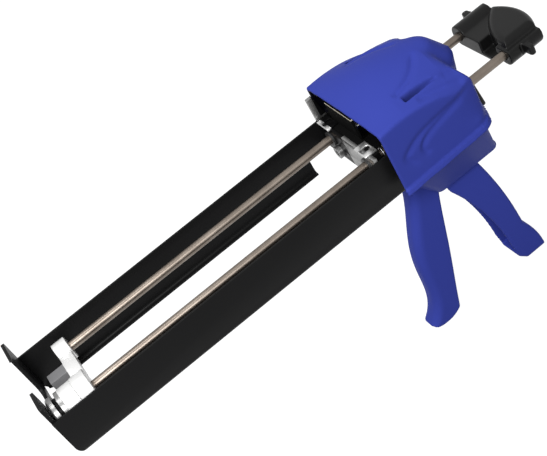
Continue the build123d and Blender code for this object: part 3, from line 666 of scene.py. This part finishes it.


# Painted shade: the hood's inside, the ledge in its mouth and the floor of each scoop are darkened in colour.
scoop_shade = 0.65
shade_spread = 2.5
rim_depth, rim_top, rim_half = 25, 20, 48
in_scoop = on_shoulder * opened * np.clip(shade_spread * across, 0, 1)
in_mouth = (skin.points[:, 0] < rim_depth) & (skin.points[:, 2] < rim_top)
rim_ledge = in_mouth & (np.abs(skin.points[:, 1]) < rim_half)
hood_inside = MouldSkin(hood.data, hood_axis_z).facing_in() | rim_ledge
store_shade(hood, np.maximum(hood_inside, scoop_shade * in_scoop))
moulding_shade_black = (0.003, 0.003, 0.006)
blue_shaded_moulding = painted("blue_shaded_moulding", blue_plastic, moulding_shade_black, attribute="shade")
dress(blue_shaded_moulding, "blue_plastic", hood)

# Grip body and trigger: the neck and pistol handle, and before it the long lever on the trigger pin.
# Both are injection moulded in the hood's blue plastic. The inside of the neck is darkened with painted
# shade.
handle_cell, handle_passes = 0.0008, 4
grip = moulded("grip_body", handle_cell, handle_passes)
neck_bottom = -60.0
inward_limit = -0.3
skin = MouldSkin(grip.data, neck_bottom)
toward_middle = skin.normals[:, 1] * np.sign(skin.points[:, 1]) < inward_limit
# Painted shade on the neck's inward-facing walls.
store_shade(grip, toward_middle & (skin.points[:, 2] > neck_bottom))
dress(blue_shaded_moulding, "blue_plastic", grip)
dress(blue_plastic, "blue_plastic", moulded("trigger", handle_cell, handle_passes))

# Rods: two ground steel bars that carry the pushers, with the pivot pins and trigger bush of the same stock.
# Grinding leaves fine rings round the bar under a warm film of oil.
ground_steel = finish(
    "ground_steel", dark=(0.11, 0.09, 0.074), light=(0.28, 0.24, 0.205), worn=(0.4, 0.36, 0.32),
    rough=0.38, metal=1.0, grain=700.0, drift=60.0, stretch=(1.0, 0.05, 0.05), height=0.00001,
)
dress(ground_steel, "rod_steel", "left_rod", "right_rod", "trigger_pin", "release_pin", "trigger_bush")

# Pushers: turned and zinc plated, the large stepped one on the left rod and the small one on the right.
# A milled link joins them, its tongue greyed with painted shade, and a socket screw holds each to its rod.
# The groove in the large one's nose is darkened with painted shade.
pale_zinc = finish(
    "pale_zinc", dark=(0.66, 0.66, 0.66), light=(0.82, 0.82, 0.81), worn=(0.85, 0.85, 0.85),
    rough=0.42, metal=0.55, grain=420.0, drift=45.0,
)
pusher_round = 0.0005
for name in ("left_pusher_flange", "left_pusher_drum", "right_pusher"):
    dress(pale_zinc, "plated_steel", tumbled(name, pusher_round))
dress(dull_zinc, "plated_steel", "pusher_screws")
# Painted shade: the link's tongue is greyed in colour.
tongue_shade_grey = (0.15, 0.15, 0.155)
tongue_length = 0.014
tongue_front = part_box("pusher_link")[0][0]
tongue_back = tongue_front + tongue_length
link_bands = [("X", tongue_front, tongue_back)]
link_finish = painted("shade_tongued_zinc", pale_zinc, tongue_shade_grey, link_bands)
dress(link_finish, "plated_steel", tumbled("pusher_link", pusher_round))
# Painted shade: a black band round the nose over its groove.
groove_shade_black = (0.004, 0.004, 0.004)
nose_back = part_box("left_pusher_nose")[1][0]
groove_reach, groove_setback = 0.00605, 0.00295
groove_front, groove_back = nose_back - groove_reach, nose_back - groove_setback
nose_bands = [("X", groove_front, groove_back)]
nose_finish = painted("shaded_groove_zinc", dull_zinc, groove_shade_black, nose_bands)
dress(nose_finish, "plated_steel", "left_pusher_nose")

# Pull knob: black moulding pressed on the rods' rear ends, each held by a cross pin from below.
# Satin black plastic with a little shine on its rounded palm.
black_plastic = finish(
    "black_plastic", dark=(0.004, 0.004, 0.004), light=(0.009, 0.009, 0.009), worn=(0.03, 0.03, 0.03),
    rough=0.34, specular=0.16, grain=800.0, wear=0.3,
)
dress(black_plastic, "black_plastic", moulded("pull_knob", cell=0.0006, passes=6))
dress(ground_steel, "rod_steel", "knob_pins")

# Release lever: thumb tongue under the rear of the hood that lifts the brake plate off the rods.
# Moulded in the knob's black plastic and hung on the release pin.
dress(black_plastic, "black_plastic", moulded("release_lever", cell=0.0005, passes=3))

# Studio: a floor and sky that the camera and bright metal see as white, with two soft lights from above.
# The floor gives back little of the lights, so that the hood's lines stay clear.
floor_z = rest_bounds[0][2]
floor_half = 4.0
floor_grey = (0.25, 0.25, 0.25, 1.0)
floor_rough = 0.9
floor_glow = 0.92
ambient, seen_sky = 0.36, 1.0
white = (1.0, 1.0, 1.0, 1.0)
corner_signs = [(-1, -1), (1, -1), (1, 1), (-1, 1)]
corners = [(x * floor_half, y * floor_half, floor_z) for x, y in corner_signs]
floor_mesh = bpy.data.meshes.new("floor")
floor_mesh.from_pydata(corners, [], [range(len(corners))])
floor = bpy.data.objects.new("floor", floor_mesh)
bpy.context.scene.collection.objects.link(floor)


def seen_directly(tree):
    """One where a ray comes from the camera or from a mirror-like or clear surface, else nought."""
    rays = tree.nodes.new("ShaderNodeLightPath").outputs
    seen_or_mirrored = math_node(tree, "MAXIMUM", rays["Is Camera Ray"], rays["Is Glossy Ray"])
    return math_node(tree, "MAXIMUM", seen_or_mirrored, rays["Is Transmission Ray"])


floor_material = bpy.data.materials.new("floor_white")
floor_material.use_nodes = True
tree = floor_material.node_tree
shader = tree.nodes["Principled BSDF"]
shader.inputs["Base Color"].default_value = floor_grey
shader.inputs["Roughness"].default_value = floor_rough
shader.inputs["Specular IOR Level"].default_value = 0.0
shader.inputs["Emission Color"].default_value = white
glow = math_node(tree, "MULTIPLY", seen_directly(tree), floor_glow)
tree.links.new(glow, shader.inputs["Emission Strength"])
floor_mesh.materials.append(floor_material)

world = bpy.data.worlds.new("studio")
bpy.context.scene.world = world
world.use_nodes = True
tree = world.node_tree
sky = tree.nodes["Background"]
sky.inputs["Color"].default_value = white
level = tree.nodes.new("ShaderNodeMapRange")
level.inputs["To Min"].default_value = ambient
level.inputs["To Max"].default_value = seen_sky
tree.links.new(seen_directly(tree), level.inputs["Value"])
tree.links.new(level.outputs["Result"], sky.inputs["Strength"])


def soft_light(name, place, target, size, power):
    """A square lamp that looks from one place at another."""
    light = bpy.data.lights.new(name, "AREA")
    light.size = size
    light.energy = power
    lamp = bpy.data.objects.new(name, light)
    bpy.context.scene.collection.objects.link(lamp)
    lamp.location = place
    lamp.rotation_euler = (Vector(target) - Vector(place)).to_track_quat("-Z", "Y").to_euler()


soft_light("key", place=(-0.4, 0.1, 1.0), target=(0.0, 0.0, 0.0), size=0.35, power=4.2)
soft_light("fill", place=(-0.4, -0.8, 0.8), target=(0.0, 0.0, -0.05), size=0.4, power=10.8)

# Camera: above and in front of the gun's left side, rolled so that the carriage rises to the right.
# Its place and lens were solved from the carriage's straight edges.
picture_width = 547
focal_pixels = 1125.15
sensor_width = 36.0
turn, tilt, roll = math.radians(9.23), math.radians(39.01), math.radians(-32.94)
distance = 0.81906
target = Vector((-0.07685, 0.0041, -0.01499))
forward = Vector((math.sin(turn) * math.cos(tilt), math.cos(turn) * math.cos(tilt), -math.sin(tilt)))
right = Vector((math.cos(turn), -math.sin(turn), 0.0))
up = right.cross(forward)
right_rolled = right * math.cos(roll) + up * math.sin(roll)
up_rolled = up * math.cos(roll) - right * math.sin(roll)
camera_data = bpy.data.cameras.new("camera")
camera_data.sensor_width = sensor_width
camera_data.lens = sensor_width * focal_pixels / picture_width
camera = bpy.data.objects.new("camera", camera_data)
bpy.context.scene.collection.objects.link(camera)
basis = Matrix((right_rolled, up_rolled, -forward)).transposed().to_4x4()
camera.matrix_world = Matrix.Translation(target - forward * distance) @ basis
bpy.context.scene.camera = camera
bpy.context.scene.view_settings.view_transform = "Standard"
